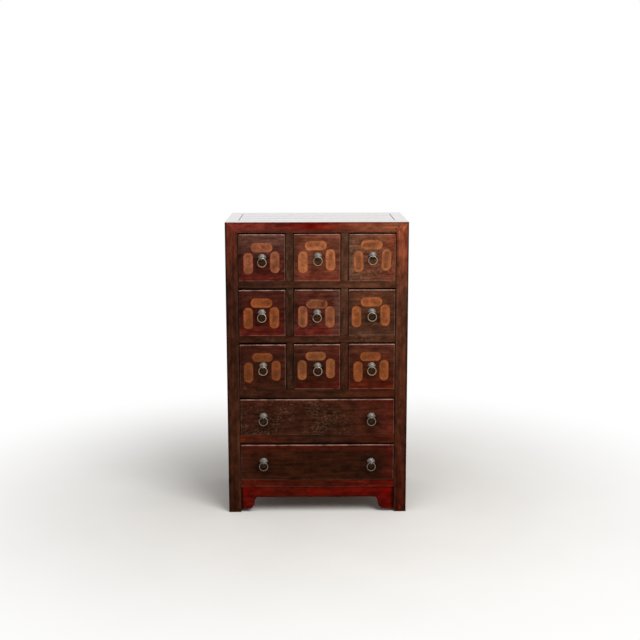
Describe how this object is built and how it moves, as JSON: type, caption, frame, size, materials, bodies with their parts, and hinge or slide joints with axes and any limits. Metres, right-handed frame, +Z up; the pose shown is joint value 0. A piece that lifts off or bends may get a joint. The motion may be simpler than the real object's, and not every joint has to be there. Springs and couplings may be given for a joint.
{
  "type": "apothecary chest",
  "caption": "Upright lacquered wood apothecary chest: a grid of small ring-pull drawers over full-width drawers, on square posts with a shaped apron.",
  "frame": {"origin": "on the floor, under the middle of the whole chest with its pulls", "axes": "+Z up, -Y out of the drawer fronts, +X to the right of someone facing the front"},
  "size_m": [0.585, 0.3786, 0.961],
  "materials": {
    "frame_lacquer": "aged brown-black lacquer worn to oxblood red, glossy",
    "top_lacquer": "aged lacquer, polished by use",
    "drawer_lacquer": "aged brown-red lacquer, crackled and scuffed",
    "apron_lacquer": "deep red lacquer",
    "bare_wood": "unfinished softwood",
    "boss_iron": "worn grey iron",
    "ring_iron": "rubbed iron wire"
  },
  "bodies": {
    "carcass": {"apron": "apron_lacquer", "back_panel": "bare_wood", "lower_rail_back": "frame_lacquer", "lower_rail_left": "frame_lacquer", "lower_rail_right": "frame_lacquer", "partition_left": "frame_lacquer", "partition_right": "frame_lacquer", "post_back_left": "frame_lacquer", "post_back_right": "frame_lacquer", "post_front_left": "frame_lacquer", "post_front_right": "frame_lacquer", "shelf_lower": "frame_lacquer", "shelf_second": "frame_lacquer", "shelf_third": "frame_lacquer", "shelf_top": "frame_lacquer", "shelf_upper": "frame_lacquer", "side_panel_left": "frame_lacquer", "side_panel_right": "frame_lacquer", "top_end_left": "frame_lacquer", "top_end_right": "frame_lacquer", "top_panel": "top_lacquer", "top_rail_back": "frame_lacquer", "top_rail_front": "frame_lacquer"},
    "drawer_second_left": {"drawer_second_left": "drawer_lacquer", "pull_second_left": "boss_iron"},
    "drawer_second_middle": {"drawer_second_middle": "drawer_lacquer", "pull_second_middle": "boss_iron"},
    "drawer_second_right": {"drawer_second_right": "drawer_lacquer", "pull_second_right": "boss_iron"},
    "drawer_third_left": {"drawer_third_left": "drawer_lacquer", "pull_third_left": "boss_iron"},
    "drawer_third_middle": {"drawer_third_middle": "drawer_lacquer", "pull_third_middle": "boss_iron"},
    "drawer_third_right": {"drawer_third_right": "drawer_lacquer", "pull_third_right": "boss_iron"},
    "drawer_top_left": {"drawer_top_left": "drawer_lacquer", "pull_top_left": "boss_iron"},
    "drawer_top_middle": {"drawer_top_middle": "drawer_lacquer", "pull_top_middle": "boss_iron"},
    "drawer_top_right": {"drawer_top_right": "drawer_lacquer", "pull_top_right": "boss_iron"},
    "drawer_wide_lower": {"drawer_wide_lower": "drawer_lacquer", "pull_lower_left": "boss_iron", "pull_lower_right": "boss_iron"},
    "drawer_wide_upper": {"drawer_wide_upper": "drawer_lacquer", "pull_upper_left": "boss_iron", "pull_upper_right": "boss_iron"},
    "ring_lower_left": {"ring_lower_left": "ring_iron"},
    "ring_lower_right": {"ring_lower_right": "ring_iron"},
    "ring_second_left": {"ring_second_left": "ring_iron"},
    "ring_second_middle": {"ring_second_middle": "ring_iron"},
    "ring_second_right": {"ring_second_right": "ring_iron"},
    "ring_third_left": {"ring_third_left": "ring_iron"},
    "ring_third_middle": {"ring_third_middle": "ring_iron"},
    "ring_third_right": {"ring_third_right": "ring_iron"},
    "ring_top_left": {"ring_top_left": "ring_iron"},
    "ring_top_middle": {"ring_top_middle": "ring_iron"},
    "ring_top_right": {"ring_top_right": "ring_iron"},
    "ring_upper_left": {"ring_upper_left": "ring_iron"},
    "ring_upper_right": {"ring_upper_right": "ring_iron"}
  },
  "joints": [
    {"name": "slide_second_left", "type": "slide", "parent": "carcass", "child": "drawer_second_left", "axis": [0, -1, 0], "range_m": [0, 0.26]},
    {"name": "slide_second_middle", "type": "slide", "parent": "carcass", "child": "drawer_second_middle", "axis": [0, -1, 0], "range_m": [0, 0.26]},
    {"name": "slide_second_right", "type": "slide", "parent": "carcass", "child": "drawer_second_right", "axis": [0, -1, 0], "range_m": [0, 0.26]},
    {"name": "slide_third_left", "type": "slide", "parent": "carcass", "child": "drawer_third_left", "axis": [0, -1, 0], "range_m": [0, 0.26]},
    {"name": "slide_third_middle", "type": "slide", "parent": "carcass", "child": "drawer_third_middle", "axis": [0, -1, 0], "range_m": [0, 0.26]},
    {"name": "slide_third_right", "type": "slide", "parent": "carcass", "child": "drawer_third_right", "axis": [0, -1, 0], "range_m": [0, 0.26]},
    {"name": "slide_top_left", "type": "slide", "parent": "carcass", "child": "drawer_top_left", "axis": [0, -1, 0], "range_m": [0, 0.26]},
    {"name": "slide_top_middle", "type": "slide", "parent": "carcass", "child": "drawer_top_middle", "axis": [0, -1, 0], "range_m": [0, 0.26]},
    {"name": "slide_top_right", "type": "slide", "parent": "carcass", "child": "drawer_top_right", "axis": [0, -1, 0], "range_m": [0, 0.26]},
    {"name": "slide_wide_lower", "type": "slide", "parent": "carcass", "child": "drawer_wide_lower", "axis": [0, -1, 0], "range_m": [0, 0.26]},
    {"name": "slide_wide_upper", "type": "slide", "parent": "carcass", "child": "drawer_wide_upper", "axis": [0, -1, 0], "range_m": [0, 0.26]},
    {"name": "swing_lower_left", "type": "hinge", "parent": "drawer_wide_lower", "child": "ring_lower_left", "pos_m": [-0.1765, -0.18385, 0.17265], "axis": [-1, 0, 0], "range_deg": [0, 170]},
    {"name": "swing_lower_right", "type": "hinge", "parent": "drawer_wide_lower", "child": "ring_lower_right", "pos_m": [0.1765, -0.18385, 0.17105], "axis": [-1, 0, 0], "range_deg": [0, 170]},
    {"name": "swing_second_left", "type": "hinge", "parent": "drawer_second_left", "child": "ring_second_left", "pos_m": [-0.1776, -0.18385, 0.66815], "axis": [-1, 0, 0], "range_deg": [0, 170]},
    {"name": "swing_second_middle", "type": "hinge", "parent": "drawer_second_middle", "child": "ring_second_middle", "pos_m": [0, -0.18385, 0.66805], "axis": [-1, 0, 0], "range_deg": [0, 170]},
    {"name": "swing_second_right", "type": "hinge", "parent": "drawer_second_right", "child": "ring_second_right", "pos_m": [0.1765, -0.18385, 0.67055], "axis": [-1, 0, 0], "range_deg": [0, 170]},
    {"name": "swing_third_left", "type": "hinge", "parent": "drawer_third_left", "child": "ring_third_left", "pos_m": [-0.1754, -0.18385, 0.49385], "axis": [-1, 0, 0], "range_deg": [0, 170]},
    {"name": "swing_third_middle", "type": "hinge", "parent": "drawer_third_middle", "child": "ring_third_middle", "pos_m": [0.0016, -0.18385, 0.49255], "axis": [-1, 0, 0], "range_deg": [0, 170]},
    {"name": "swing_third_right", "type": "hinge", "parent": "drawer_third_right", "child": "ring_third_right", "pos_m": [0.1765, -0.18385, 0.49305], "axis": [-1, 0, 0], "range_deg": [0, 170]},
    {"name": "swing_top_left", "type": "hinge", "parent": "drawer_top_left", "child": "ring_top_left", "pos_m": [-0.1753, -0.18385, 0.84645], "axis": [-1, 0, 0], "range_deg": [0, 170]},
    {"name": "swing_top_middle", "type": "hinge", "parent": "drawer_top_middle", "child": "ring_top_middle", "pos_m": [0.0026, -0.18385, 0.85085], "axis": [-1, 0, 0], "range_deg": [0, 170]},
    {"name": "swing_top_right", "type": "hinge", "parent": "drawer_top_right", "child": "ring_top_right", "pos_m": [0.1774, -0.18385, 0.85325], "axis": [-1, 0, 0], "range_deg": [0, 170]},
    {"name": "swing_upper_left", "type": "hinge", "parent": "drawer_wide_upper", "child": "ring_upper_left", "pos_m": [-0.1758, -0.18385, 0.32555], "axis": [-1, 0, 0], "range_deg": [0, 170]},
    {"name": "swing_upper_right", "type": "hinge", "parent": "drawer_wide_upper", "child": "ring_upper_right", "pos_m": [0.1765, -0.18385, 0.32455], "axis": [-1, 0, 0], "range_deg": [0, 170]}
  ]
}
